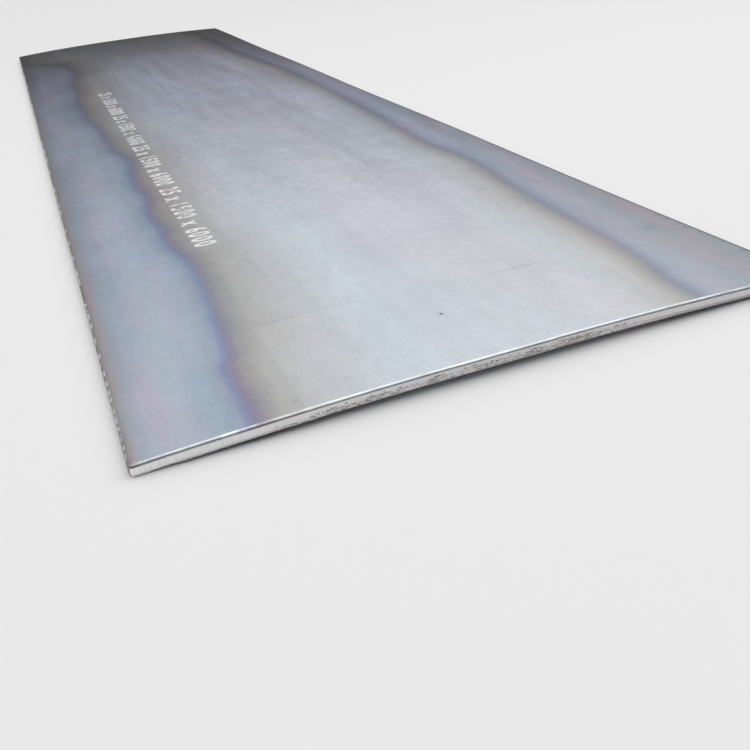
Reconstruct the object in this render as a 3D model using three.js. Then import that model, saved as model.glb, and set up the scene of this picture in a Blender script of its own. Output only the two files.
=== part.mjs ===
// A hot-rolled steel plate, 25 x 1500 x 6000 mm, lying on its underside.  It is bowed a little across
// its width, so it rests on its two long sides and its middle stands off the floor.
//
// +Y runs along the rolling direction, +X across the plate and +Z up.
// The origin is on the floor, under the middle of the plate.
//
// The plate is one piece, so it is one closed solid.  Its two short ends were cut by a shear, and its
// two long sides are as the mill rolled them.  Its edge is described by a few levels between the top
// face and the underside.  Each level is one outline ring round the plate, and the rings are stitched
// to each other and to a grid that fills each face.
import * as THREE from "three";

// ---- Overall size, in millimetres
const LENGTH = 6000;
const WIDTH = 1500;
const THICKNESS = 25;

// ---- Sheared ends, from the top face down
const ROLLOVER_REACH = 6; // how far in from the end the top face starts to dip
const ROLLOVER_DEPTH = 6.5; // how far the blade drew the top corner down
const BURNISH_FOOT_LEFT = 4; // where the band that the blade wiped ends, above the underside
const BURNISH_FOOT_MIDDLE = 9.5; // it ends higher in the middle, where the steel tore early
const BURNISH_FOOT_RIGHT = 7;
const EARLY_TEAR_FROM = 300; // distances from the left side between which the steel tore early
const EARLY_TEAR_TO = 1040;
const EARLY_TEAR_BLEND = 140; // length over which the band's foot climbs or drops
const BURNISH_RAGGED = 0.6; // how much the lower line of that band wanders
const FRACTURE_SETBACK = 0.6; // how far in the torn part below starts
const FRACTURE_LEAN = 0.13; // and how much further it leans in, for each millimetre of its height
const FRACTURE_RAGGED = 0.25; // how uneven the torn part is
const BURR_LIP = 0.6; // the torn edge's lip, pushed back outwards
const BURR_HEIGHT = 0.9; // the lip's height above the underside

// ---- The place where the blade's two strokes met, on the near end
const STROKE_STEP = 1.2; // how far the second stroke cut further in
const STROKE_FROM_LEFT = 845; // distance of the step from the left side
const STROKE_BLEND = 22; // length over which one stroke runs into the other

// ---- Chipped stretch of the near end's lower edge, beside its left corner
const CHIP_FROM_LEFT = 62;
const CHIP_LENGTH = 70;
const CHIP_DEPTH = 2.4;

// ---- Mill edges, on the long sides
const MILL_ROUND = 4; // how far in from the side each face starts to round over
const MILL_BULGE = 2; // how far the middle of the side stands out past its shoulders
const MILL_WANDER = 1.2; // how far the side wanders in and out along the plate
const MILL_WANDER_PITCH = 1700;

// ---- Corners, seen from above
const CORNER_CUT = 9; // radius of each corner
const NEAR_LEFT_CORNER_CUT = 11; // the near left corner took a knock

// ---- Flatness: a bow across the width, flat along its crown, and long waves in the long sides
const CROSS_BOW = 18; // how much higher the middle stands than the long sides
const FLAT_HALF_WIDTH = 105; // the crown is flat this far each way from the middle line
const EDGE_WAVE_LIFT = 3; // the highest lift of a long side, at the right
const LEFT_WAVE_SHARE = 0.6; // the left side's lift, as a share of the right side's
const EDGE_WAVE_PITCH = 1900; // from crest to crest

// ---- Fineness of the surface
const FACE_MARGIN = 34; // from the outline to the grid that fills a face
const ACROSS = 14; // grid cells across the plate
const ALONG = 32; // grid cells along the plate
const END_FINENESS = 6; // outline points on an end for each grid cell
const SIDE_FINENESS = 1; // outline points on a long side for each grid cell
const CORNER_POINTS = 5; // outline steps round each corner

const smooth = (t) => {
  const u = Math.min(Math.max(t, 0), 1);
  return u * u * (3 - 2 * u);
};

// A slow, uneven wander between -1 and 1, made of three sine waves that never line up.
function wander(distance, pitch, phase) {
  const turn = (2 * Math.PI * distance) / pitch + phase;
  return 0.5 * Math.sin(turn) + 0.3 * Math.sin(2.3 * turn + 1.1) + 0.2 * Math.sin(5.1 * turn + 2.7);
}

// How far the plate stands off the floor at a place on it.
function lift(x, y) {
  const restHalfWidth = WIDTH / 2 - MILL_ROUND - MILL_BULGE; // where its underside ends and rests
  const share = (Math.abs(x) - FLAT_HALF_WIDTH) / (restHalfWidth - FLAT_HALF_WIDTH);
  const outside = Math.min(Math.max(share, 0), 1);
  const side = x > 0 ? 1 : LEFT_WAVE_SHARE;
  const phase = x > 0 ? 0.9 : 2.6;
  const crest = 0.5 - 0.5 * Math.cos((2 * Math.PI * y) / EDGE_WAVE_PITCH + phase);
  return CROSS_BOW * (1 - outside ** 2) + EDGE_WAVE_LIFT * side * outside ** 2 * crest;
}

// Where the wiped band ends, above the underside, at a distance from the plate's left side.
function burnishFootAt(along) {
  const climb = smooth((along - EARLY_TEAR_FROM) / EARLY_TEAR_BLEND);
  const drop = smooth((along - EARLY_TEAR_TO) / EARLY_TEAR_BLEND);
  const beforeDrop = THREE.MathUtils.lerp(BURNISH_FOOT_LEFT, BURNISH_FOOT_MIDDLE, climb);
  return THREE.MathUtils.lerp(beforeDrop, BURNISH_FOOT_RIGHT, drop);
}

// ---- The sheared end's section: for each level, its height and how far it stands out past the end.
// along: distance across the plate from its left side.  nearEnd: the end with the stroke step and chip.
function shearedLevels(along, nearEnd) {
  const phase = nearEnd ? 0 : 3.4;
  const line = wander(along, 190, phase) + 0.5 * wander(along, 61, phase + 1);
  const tear = wander(along, 97, phase + 2);
  const chipReach = (along - CHIP_FROM_LEFT) / (CHIP_LENGTH / 2);
  const chip = nearEnd ? CHIP_DEPTH * Math.max(0, 1 - chipReach ** 2) : 0;
  const step = nearEnd ? STROKE_STEP * smooth((along - STROKE_FROM_LEFT) / STROKE_BLEND) : 0;

  const rollover = [0, 30, 60, 90].map((turn) => {
    const angle = THREE.MathUtils.degToRad(turn);
    return {
      height: THICKNESS - ROLLOVER_DEPTH * (1 - Math.cos(angle)),
      out: -ROLLOVER_REACH * (1 - Math.sin(angle)),
    };
  });
  const burnishFoot = burnishFootAt(along) + BURNISH_RAGGED * line;
  const torn = FRACTURE_SETBACK + FRACTURE_LEAN * burnishFoot + FRACTURE_RAGGED * tear;
  const burrTop = 2 * BURR_HEIGHT;
  return [
    ...rollover,
    { height: burnishFoot, out: 0 },
    { height: (burnishFoot + burrTop) / 2, out: -0.75 * torn - 0.4 * chip },
    { height: burrTop, out: -torn - chip },
    { height: BURR_HEIGHT / 2, out: -torn + BURR_LIP - chip },
    { height: 0, out: -torn - chip },
  ].map(({ height, out }) => ({ height, out: out - step }));
}

// ---- The mill edge's section: the same levels, on a side that bulges like a barrel.
function milledLevels(along, rightSide) {
  const wandering = MILL_WANDER * (0.5 + 0.5 * wander(along, MILL_WANDER_PITCH, rightSide ? 1.3 : 4.2));
  const shares = [1, 0.97, 0.9, 0.76, 0.5, 0.26, 0.11, 0.03, 0]; // height of each level, as a share
  return shares.map((share) => {
    const fromMiddle = Math.abs(2 * share - 1); // 0 at mid thickness, 1 at a face
    const shoulder = Math.max(0, (fromMiddle - 0.6) / 0.4);
    const roundOver = MILL_ROUND * (1 - Math.sqrt(Math.max(0, 1 - shoulder ** 2)));
    return {
      height: share * THICKNESS,
      out: -wandering - MILL_BULGE * fromMiddle ** 2 * (1 - shoulder) - roundOver - MILL_BULGE * shoulder,
    };
  });
}

// ---- One point of the outline at every level.
// A point that belongs to both an end and a side blends the two sections.
function edgeColumn(x, y, outward, share) {
  const sheared = shearedLevels(x + WIDTH / 2, y < 0);
  const milled = milledLevels(y + LENGTH / 2, x > 0);
  return sheared.map((s, k) => {
    const m = milled[k];
    const out = s.out * (1 - share) + m.out * share;
    const height = s.height * (1 - share) + m.height * share;
    const px = x + outward.x * out;
    const py = y + outward.y * out;
    return new THREE.Vector3(px, py, height + lift(px, py));
  });
}

// ---- The outline, walked anticlockwise from the near left corner.
// Each stretch is a list of columns, and a corner's columns all hang on one grid corner.
function outline() {
  const halfX = WIDTH / 2;
  const halfY = LENGTH / 2;
  const gridX = halfX - FACE_MARGIN;
  const gridY = halfY - FACE_MARGIN;
  const corners = [
    { x: halfX, y: -halfY, radius: CORNER_CUT, from: -Math.PI / 2 },
    { x: halfX, y: halfY, radius: CORNER_CUT, from: 0 },
    { x: -halfX, y: halfY, radius: CORNER_CUT, from: Math.PI / 2 },
    { x: -halfX, y: -halfY, radius: NEAR_LEFT_CORNER_CUT, from: Math.PI },
  ];
  const end = { cells: ACROSS, fine: END_FINENESS, share: 0 };
  const side = { cells: ALONG, fine: SIDE_FINENESS, share: 1 };
  const stretches = [
    { ...end, from: [-gridX, -halfY], to: [gridX, -halfY], out: [0, -1] },
    { ...side, from: [halfX, -gridY], to: [halfX, gridY], out: [1, 0] },
    { ...end, from: [gridX, halfY], to: [-gridX, halfY], out: [0, 1] },
    { ...side, from: [-halfX, gridY], to: [-halfX, -gridY], out: [-1, 0] },
  ];
  const columns = [];
  stretches.forEach((stretch, number) => {
    const steps = stretch.cells * stretch.fine;
    for (let i = 0; i <= steps; i++) {
      const t = i / steps;
      const x = THREE.MathUtils.lerp(stretch.from[0], stretch.to[0], t);
      const y = THREE.MathUtils.lerp(stretch.from[1], stretch.to[1], t);
      const outward = new THREE.Vector2(...stretch.out);
      const points = edgeColumn(x, y, outward, stretch.share);
      columns.push({ side: number, cell: i / stretch.fine, points });
    }
    const corner = corners[number];
    const cx = corner.x - Math.sign(corner.x) * corner.radius;
    const cy = corner.y - Math.sign(corner.y) * corner.radius;
    for (let i = 0; i <= CORNER_POINTS; i++) {
      const turn = i / CORNER_POINTS;
      const angle = corner.from + (turn * Math.PI) / 2;
      const outward = new THREE.Vector2(Math.cos(angle), Math.sin(angle));
      const onSide = Math.abs(outward.x) ** 2;
      const x = cx + corner.radius * outward.x;
      const y = cy + corner.radius * outward.y;
      const points = edgeColumn(x, y, outward, onSide);
      columns.push({ side: number, cell: stretch.cells, points });
    }
  });
  return columns;
}

// ---- The grid that fills a face, inside the outline.
function faceGrid(height) {
  const gridX = WIDTH / 2 - FACE_MARGIN;
  const gridY = LENGTH / 2 - FACE_MARGIN;
  const points = [];
  for (let j = 0; j <= ALONG; j++) {
    for (let i = 0; i <= ACROSS; i++) {
      const x = THREE.MathUtils.lerp(-gridX, gridX, i / ACROSS);
      const y = THREE.MathUtils.lerp(-gridY, gridY, j / ALONG);
      points.push(new THREE.Vector3(x, y, height + lift(x, y)));
    }
  }
  return points;
}

// Which grid point an outline column hangs on: the nearest one of its own side.
function gridIndex(side, cell) {
  const at = Math.round(cell);
  const place = [
    [at, 0],
    [ACROSS, at],
    [ACROSS - at, ALONG],
    [0, ALONG - at],
  ][side];
  return place[1] * (ACROSS + 1) + place[0];
}

function plateGeometry() {
  const positions = [];
  const triangles = [];
  const addPoint = (p) => positions.push(p.x, p.y, p.z) / 3 - 1;
  const addTriangle = (a, b, c, flip) => {
    if (a === b || b === c || a === c) return;
    triangles.push(...(flip ? [a, c, b] : [a, b, c]));
  };

  const columns = outline();
  const rings = columns.map((column) => column.points.map(addPoint));
  const count = columns.length;
  const levels = rings[0].length;

  // The edge, level by level.
  for (let i = 0; i < count; i++) {
    const here = rings[i];
    const next = rings[(i + 1) % count];
    for (let k = 0; k + 1 < levels; k++) {
      addTriangle(here[k], here[k + 1], next[k + 1]);
      addTriangle(here[k], next[k + 1], next[k]);
    }
  }

  // The two faces: a grid, and a rim that joins it to the first or the last level.
  for (const [height, level, flip] of [[THICKNESS, 0, false], [0, levels - 1, true]]) {
    const grid = faceGrid(height).map(addPoint);
    for (let j = 0; j < ALONG; j++) {
      for (let i = 0; i < ACROSS; i++) {
        const a = grid[j * (ACROSS + 1) + i];
        const b = grid[j * (ACROSS + 1) + i + 1];
        const c = grid[(j + 1) * (ACROSS + 1) + i + 1];
        const d = grid[(j + 1) * (ACROSS + 1) + i];
        addTriangle(a, b, c, flip);
        addTriangle(a, c, d, flip);
      }
    }
    for (let i = 0; i < count; i++) {
      const next = (i + 1) % count;
      const inner = grid[gridIndex(columns[i].side, columns[i].cell)];
      const innerNext = grid[gridIndex(columns[next].side, columns[next].cell)];
      addTriangle(rings[i][level], rings[next][level], inner, flip);
      addTriangle(rings[next][level], innerNext, inner, flip);
    }
  }

  const geometry = new THREE.BufferGeometry();
  geometry.setAttribute("position", new THREE.Float32BufferAttribute(positions, 3));
  geometry.setIndex(triangles);
  geometry.computeVertexNormals();
  return geometry;
}

const millScale = new THREE.MeshStandardMaterial({
  color: 0xaeb3bd,
  roughness: 0.42,
  metalness: 0.75,
});

const plate = new THREE.Mesh(plateGeometry(), millScale);
plate.name = "steel_plate";

const part = new THREE.Group();
part.add(plate);

export default part;
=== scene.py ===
# %% [markdown]
# # A hot-rolled steel plate
#
# This lesson dresses one piece of raw stock: a steel plate 25 mm thick, 1.5 m wide and 6 m long,
# lying on the floor, a little bowed across its width.  A plain box is what gives a model of a plate
# away, because a real one tells how it was made.  The rolls left it a skin of grey oxide, called
# mill scale, which cooled to blue and bronze along both long sides.  Those sides are as rolled:
# round, dark and a little wavy.  The short ends went through a shear, and the blade left a rounded
# shoulder, a bright wiped band, a torn band and a thin burr, always in that order.
#
# All of that is either shape or finish.  First a fine mesh is built for the plate, section by
# section.  Then each surface gets a finish made of shader nodes.

import math

import bpy
import numpy as np
from mathutils import Euler, Matrix, Vector
from mathutils.geometry import delaunay_2d_cdt


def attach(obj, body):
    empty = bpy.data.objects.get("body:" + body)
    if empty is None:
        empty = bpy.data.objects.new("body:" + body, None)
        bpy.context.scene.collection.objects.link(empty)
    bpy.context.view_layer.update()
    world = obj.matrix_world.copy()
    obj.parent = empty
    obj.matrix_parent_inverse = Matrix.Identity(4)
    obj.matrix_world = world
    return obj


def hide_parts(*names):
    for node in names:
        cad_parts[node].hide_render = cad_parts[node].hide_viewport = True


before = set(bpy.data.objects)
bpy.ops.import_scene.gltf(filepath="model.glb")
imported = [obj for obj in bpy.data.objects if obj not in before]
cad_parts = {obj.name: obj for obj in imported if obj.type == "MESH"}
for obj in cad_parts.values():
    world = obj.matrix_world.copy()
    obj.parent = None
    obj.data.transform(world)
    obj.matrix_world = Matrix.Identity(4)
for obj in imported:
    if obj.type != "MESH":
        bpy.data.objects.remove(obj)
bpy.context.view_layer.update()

# %% [markdown]
# ## The plate's sizes
#
# The solid model holds the plate at its real size, and its corners and edges are already there.
# The fine mesh repeats the same sizes, so that it fills the same space, and adds the relief that is
# too small for a solid model.  Everything is worked out in millimetres, as a plate is measured, and
# turned into metres when the mesh is made.
#
# X runs across the plate, Y along it, and Z up, from the floor under its middle.  Places are easier
# to say from its near left corner, so two words come up again and again: `across` is the distance
# from the left side, and `along` is the distance from the near end.

# %% Sizes of the plate, in millimetres
MM = 0.001
LENGTH = 6000
WIDTH = 1500
THICKNESS = 25
HALF_X = WIDTH / 2
HALF_Y = LENGTH / 2

CORNER_CUT = 9  # radius of each corner, seen from above
NEAR_LEFT_CORNER_CUT = 11  # this corner took a knock

MILL_ROUND = 4  # the rounding of the long sides
MILL_BULGE = 2  # and how far they bulge

CROSS_BOW = 18  # the plate is bowed across: its middle stands this much higher than its sides
FLAT_HALF_WIDTH = 105  # the crown of the bow is flat this far each way from the middle line
EDGE_WAVE_LIFT = 3  # the right side lifts this far off the floor, in long waves
EDGE_WAVE_PITCH = 1900
LEFT_WAVE_SHARE = 0.6  # and the left one by this share of it
RIGHT_WAVE_PHASE = 0.9
LEFT_WAVE_PHASE = 2.6


def smooth(t):
    u = np.clip(t, 0, 1)
    return u * u * (3 - 2 * u)


def lift(x, y):
    """How far the plate stands off the floor at a place on it, in mm from its middle."""
    rest_half_width = HALF_X - MILL_ROUND - MILL_BULGE
    outside = np.clip((np.abs(x) - FLAT_HALF_WIDTH) / (rest_half_width - FLAT_HALF_WIDTH), 0, 1)
    side = np.where(x > 0, 1, LEFT_WAVE_SHARE)
    phase = np.where(x > 0, RIGHT_WAVE_PHASE, LEFT_WAVE_PHASE)
    crest = 0.5 - 0.5 * np.cos(2 * np.pi * y / EDGE_WAVE_PITCH + phase)
    return CROSS_BOW * (1 - outside**2) + EDGE_WAVE_LIFT * side * outside**2 * crest


print("off the floor in the middle:", lift(0, 0), "mm")
print("off the floor at the near right corner:", round(float(lift(HALF_X, -HALF_Y)), 1), "mm")

# %% [markdown]
# ## The sheared ends
#
# A shear doesn't slice, it pushes.  The top blade first drags the corner down and rounds it, which
# is the rollover.  Then it slides along the fresh steel and wipes it bright: the burnished band.
# Low down the steel gives up and tears, so the rest is rough and leans in, and at the very bottom
# the tear leaves a thin lip, the burr.
#
# One way to make this is to cut a box and paint the bands on.  They would look right from one side
# only, because each band catches light in its own way.  So the bands are made as shape.  The edge
# is a section, a list of points from the top face down to the underside, and the section is
# repeated every 1.5 mm along the end, with its own small changes.

# %% Sizes of a sheared end
ROLLOVER_REACH = 6
ROLLOVER_DEPTH = 6.5
BURNISH_FOOT_LEFT = 4  # where the wiped band ends, above the underside
BURNISH_FOOT_MIDDLE = 9.5
BURNISH_FOOT_RIGHT = 7
EARLY_TEAR_FROM = 300  # between these distances from the left side the steel tore early
EARLY_TEAR_TO = 1040
EARLY_TEAR_BLEND = 140
BURNISH_RAGGED = 0.6
FRACTURE_SETBACK = 0.6
FRACTURE_LEAN = 0.13
FRACTURE_RAGGED = 0.25
BURR_LIP = 0.6
BURR_HEIGHT = 0.9
BURR_TOP = 2 * BURR_HEIGHT
FOOT_PITCHES = (190, 61)  # of the waves that the foot of the wiped band wanders in
TEAR_PITCH = 97
REACH_PITCH = 410
RUB_AND_SHEEN_PITCH = 260
END_STARTS = {"near": (0, 100), "far": (3.4, 200)}  # each end's phase of the waves and its seed

ROLLOVER_TURNS = np.radians([0, 10, 21, 32, 44, 56, 67, 77, 84, 90])  # round a quarter ellipse
KEEPS_SCALE_FROM, KEEPS_SCALE_OVER = np.radians([60, 24])
BURNISH_STEPS = (0.2, 0.38, 0.54, 0.69, 0.82, 0.92, 1)  # down the wiped band
TEAR_STEPS = (0.94, 0.82, 0.68, 0.54, 0.41, 0.29, 0.17, 0.07)  # shares of the torn band's height
LEVELS = len(ROLLOVER_TURNS) + len(BURNISH_STEPS) + len(TEAR_STEPS) + 3
FIRST_WIPED = len(ROLLOVER_TURNS) - 1
FIRST_TORN = FIRST_WIPED + len(BURNISH_STEPS) + 1
print("levels in the section:", LEVELS)

# %% Waves and noise to make it uneven
def wander(distance, pitch, phase):
    """A slow uneven wave between -1 and 1, made of three waves that never line up."""
    turn = 2 * np.pi * distance / pitch + phase
    return 0.5 * np.sin(turn) + 0.3 * np.sin(2.3 * turn + 1.1) + 0.2 * np.sin(5.1 * turn + 2.7)


def grain(u, v, seed):
    """Smooth noise between -1 and 1: random numbers on a unit grid, blended in between."""
    cells = 128
    table = np.random.default_rng(seed).uniform(-1, 1, (cells, cells))
    column = np.floor(u).astype(int)
    row = np.floor(v).astype(int)
    across = smooth(u - column)
    down = smooth(v - row)
    left, right = column % cells, (column + 1) % cells
    low, high = row % cells, (row + 1) % cells
    near = table[left, low] * (1 - across) + table[right, low] * across
    far = table[left, high] * (1 - across) + table[right, high] * across
    return near * (1 - down) + far * down


def grain_line(u, seed, row=0):
    """The same noise along one row of the grid."""
    return grain(u, np.full_like(u, row), seed)


trial = wander(np.arange(0.0, WIDTH), FOOT_PITCHES[0], 0)
print("a wave runs between", round(trial.min(), 2), "and", round(trial.max(), 2))

# %% Where the wiped band ends and where the steel tore early
def burnish_foot_at(across):
    """Where the wiped band ends, above the underside."""
    climb = smooth((across - EARLY_TEAR_FROM) / EARLY_TEAR_BLEND)
    drop = smooth((across - EARLY_TEAR_TO) / EARLY_TEAR_BLEND)
    before_drop = BURNISH_FOOT_LEFT + (BURNISH_FOOT_MIDDLE - BURNISH_FOOT_LEFT) * climb
    return before_drop + (BURNISH_FOOT_RIGHT - before_drop) * drop


def early_tear(across):
    """0 where the end sheared clean, 1 where it tore early."""
    start = smooth((across - EARLY_TEAR_FROM + EARLY_TEAR_BLEND / 2) / EARLY_TEAR_BLEND)
    stop = smooth((across - EARLY_TEAR_TO) / EARLY_TEAR_BLEND)
    return start * (1 - stop)


for across in (0, HALF_X, WIDTH):
    foot = round(float(burnish_foot_at(across)), 1)
    print("the wiped band ends", foot, "mm up,", across, "mm from the left side")

# %% [markdown]
# The two strokes of the blade meet part of the way along the near end, and leave a step there.
# Close to its left corner the lower edge is chipped.  The middle of the end tore badly, with short
# ragged pits in rows.  A pit is a shallow dish, longer than it is high, and a few hundred of them
# are strewn from one seeded list, so that they fall in the same places each time.  Nicks, small
# bites out of the lower edge, are made in the same way.

# %% Sizes of the stroke step, the chip, the pits and the nicks
STROKE_STEP = 1.2
STROKE_FROM_LEFT = 845
STROKE_BLEND = 22
CHIP_FROM_LEFT = 62
CHIP_LENGTH = 70
CHIP_DEPTH = 2.4

PIT_COUNT = 430
PIT_DROPS = (-4.4, -0.8, 2.8, 6.2)  # the rows they come in, below the foot of the wiped band
PIT_ROW_SHARES = (0.2, 0.4, 0.15, 0.25)
PIT_SIZES = ((1.6, 5.2), (0.8, 1.35), (0.5, 1.4))  # least and most: half length, half height, depth
PITS_FROM = 225  # distances from the left side that they are strewn between
PITS_TO = 1090
PITS_DEEPEN = 110  # and over which they grow to full depth
PITS_FADE = 130
SHALLOWEST_PIT = 0.15  # share of its depth that a pit keeps outside those
PIT_RUNS = (9, 17)  # they come in short runs: how far they are moved, and over what distance
PIT_STRAY = 0.45  # how far they stray from their rows
NICK_COUNT = 30
NICK_SIZES = ((3, 8), (1.0, 2.0), (0.5, 1.3))
NICK_LEVEL = 0.5  # their height above the underside
NICKS_FROM = 30
NICKS_TO = 420
print("short marks on an end:", PIT_COUNT, "pits and", NICK_COUNT, "nicks")

# %% Strew the pits and the nicks
def strew_dishes(draw, across, level, sizes):
    """Rows of (distance from the left side, height, half length, half height, depth)."""
    drawn = [draw.uniform(least, most, len(across)) for least, most in sizes]
    return np.stack([across, level, *drawn], axis=1)


def strew_pits(seed):
    draw = np.random.default_rng(seed)
    across = draw.uniform(PITS_FROM, PITS_TO, PIT_COUNT)
    moved, over = PIT_RUNS
    across = across + moved * np.sin(across / over)
    drop = draw.choice(PIT_DROPS, PIT_COUNT, p=PIT_ROW_SHARES)
    level = burnish_foot_at(across) - drop + draw.normal(0, PIT_STRAY, PIT_COUNT)
    pits = strew_dishes(draw, across, level, PIT_SIZES)
    fade_in = smooth((across - PITS_FROM) / PITS_DEEPEN)
    fade_out = smooth((PITS_TO - across) / PITS_FADE)
    pits[:, 4] *= SHALLOWEST_PIT + (1 - SHALLOWEST_PIT) * fade_in * fade_out
    return pits


def strew_nicks(seed):
    draw = np.random.default_rng(seed)
    across = draw.uniform(NICKS_FROM, NICKS_TO, NICK_COUNT)
    return strew_dishes(draw, across, np.full(NICK_COUNT, NICK_LEVEL), NICK_SIZES)


def dish_depth(dishes, across, height):
    """How deep the dishes cut in at each place of an end."""
    deep = np.zeros_like(height)
    for middle, level, half_length, half_height, depth in dishes:
        reach = ((across - middle) / half_length) ** 2 + ((height - level) / half_height) ** 2
        deep = np.maximum(deep, depth * np.clip(1 - reach, 0, None))
    return deep


PITS = {"near": strew_pits(41), "far": strew_pits(42)}
NICKS = {"near": strew_nicks(43), "far": strew_nicks(44)}
print("the deepest pit of the near end:", round(PITS["near"][:, 4].max(), 2), "mm")

# %% [markdown]
# Now the whole section can be written down for many places at once.  Each level of it is a column
# of one array, and each place along the end is a row, so numpy works out the thousands of sections
# in one go.  A little noise makes the foot of the wiped band, the tear and the burr ragged, and more
# so where the end tore early.

# %% All the levels of a sheared end at once
REACH_CHANGE = 0.12  # share by which the rollover's reach wanders
# Noise: the length of its lumps, how far it goes where the end sheared clean, and how much further
# where it tore early
FOOT_RAGS = (5, 0.2, 0.5)
TEAR_RAGS = (3.2, 0.12, 0.34)
TEAR_RAG_HEIGHT = 1.4
TEAR_INSET = 0.12  # the lumps lie around this far in
CHIP_SPREAD = 1.6  # how fast the chip deepens down the tear
BURR_RAGS = (4, 0.35, 9)  # the lumps' length, their share of the lip, and the noise's row


def sheared_levels(across, end, chip):
    """(height, out) of all the levels, before the pits and the nicks."""
    phase, seed = END_STARTS[end]
    rough = early_tear(across)
    slow, quick = FOOT_PITCHES
    line = wander(across, slow, phase) + 0.5 * wander(across, quick, phase + 1)
    reach = ROLLOVER_REACH * (1 + REACH_CHANGE * wander(across, REACH_PITCH, phase + 3))
    burnish_top = THICKNESS - ROLLOVER_DEPTH
    long, clean, more = FOOT_RAGS
    rags = (clean + more * rough) * grain_line(across / long, seed)
    foot = burnish_foot_at(across) + (BURNISH_RAGGED * line + rags)
    tear = wander(across, TEAR_PITCH, phase + 2)
    lean = FRACTURE_SETBACK + FRACTURE_LEAN * foot + FRACTURE_RAGGED * tear
    chipped = CHIP_DEPTH * chip

    height = np.zeros((len(across), LEVELS))
    out = np.zeros((len(across), LEVELS))
    level = 0
    for turn in ROLLOVER_TURNS:
        height[:, level] = THICKNESS - ROLLOVER_DEPTH * (1 - math.cos(turn))
        out[:, level] = -reach * (1 - math.sin(turn))
        level += 1
    for share in BURNISH_STEPS:
        height[:, level] = burnish_top + (foot - burnish_top) * share
        level += 1
    long, clean, more = TEAR_RAGS
    for share in TEAR_STEPS:
        height[:, level] = BURR_TOP + (foot - BURR_TOP) * share
        lumps = grain(across / long, height[:, level] / TEAR_RAG_HEIGHT, seed + 1)
        rags = (clean + more * rough) * lumps
        leaning = lean * (1 - share**2) + chipped * smooth(CHIP_SPREAD * (1 - share))
        out[:, level] = rags - leaning - TEAR_INSET
        level += 1
    long, far, row = BURR_RAGS
    nibble = far * grain_line(across / long, seed + 2, row)
    for burr_height, lip in ((BURR_TOP, 0), (BURR_HEIGHT / 2, BURR_LIP), (0, 0)):
        height[:, level] = burr_height
        out[:, level] = -lean - chipped + lip * (1 + nibble)
        level += 1
    return height, out


trial = sheared_levels(np.array([600.0]), "near", np.zeros(1))
print("600 mm from the left, height and out:")
print(np.round(np.concatenate(trial), 1).T.tolist())

# %% [markdown]
# Besides its place, each point keeps three numbers for the finish: how torn it is, how deep it is
# pitted, and how much it has been rubbed.  On the rollover the rubbing is also a painted sheen:
# bright bare steel along the shoulder, where it catches its highlight.  The foot of the wiped band is
# a little torn already.  A chip or a nick is a clean break, so there the end counts as less torn,
# and its brighter colour also paints the glint of the broken steel.

# %% The whole section, with what its points keep
BARELY_TORN = 0.35  # how torn the foot of the wiped band is
CHIP_CLEANS_AND_GLINTS = 0.8  # the share of the tear that a chip takes away, so it shows bright wiped steel, partly a painted glint
# and the same for a nick, whose brighter colour is partly a painted glint
NICK_CLEANS_AND_GLINTS = 0.7
FULL_NICK = 0.6  # a nick this deep takes away its whole share
LEAST_INSET = 0.02  # the torn part stays this far inside the solid model
RUB_AND_SHEEN_MIDDLE = 0.55  # how much the rollover is rubbed and painted with a bright sheen, and how far that wanders
RUB_AND_SHEEN_CHANGE = 0.45
KEEPS_SCALE = 0.8  # the share of the rubbing and painted sheen that its lower part is spared


def sheared_section(across, end):
    """A dictionary of arrays: height, out, torn, pit and rubbed, in part a painted sheen."""
    chip = np.zeros_like(across)
    step = np.zeros_like(across)
    if end == "near":
        chip = np.clip(1 - ((across - CHIP_FROM_LEFT) / (CHIP_LENGTH / 2)) ** 2, 0, None)
        step = STROKE_STEP * smooth((across - STROKE_FROM_LEFT) / STROKE_BLEND)
    height, out = sheared_levels(across, end, chip)

    pit = dish_depth(PITS[end], across[:, None], height)
    pit[:, :FIRST_WIPED] = 0
    nick = dish_depth(NICKS[end], across[:, None], height)
    limit = np.where(np.arange(LEVELS) < FIRST_TORN, 0, -LEAST_INSET)
    out = np.minimum(out - pit - nick, limit) - step[:, None]

    torn = np.zeros_like(height)
    torn[:, FIRST_TORN - 1] = BARELY_TORN
    torn[:, FIRST_TORN:] = 1
    # chips and nicks are less torn and so brighter: a clean break, and partly a painted glint
    torn *= 1 - CHIP_CLEANS_AND_GLINTS * smooth(2 * chip)[:, None]
    torn *= 1 - NICK_CLEANS_AND_GLINTS * smooth(nick / FULL_NICK)
    rubbed = np.zeros_like(height)
    rub = RUB_AND_SHEEN_MIDDLE + RUB_AND_SHEEN_CHANGE * wander(across, RUB_AND_SHEEN_PITCH, END_STARTS[end][0] + 4)
    # on the rollover this rubbing also paints a sheen: bright bare steel where its highlight falls
    rubbed[:, 1 : FIRST_WIPED + 1] = rub[:, None]
    spared = smooth((ROLLOVER_TURNS - KEEPS_SCALE_FROM) / KEEPS_SCALE_OVER)
    rubbed[:, : FIRST_WIPED + 1] *= 1 - KEEPS_SCALE * spared
    return {"height": height, "out": out, "torn": torn, "pit": pit, "rubbed": rubbed}


trial = sheared_section(np.arange(0.0, WIDTH), "near")
print("points of the near end in a pit:", round(100 * (trial["pit"] > 0).mean(), 1), "percent")
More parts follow.
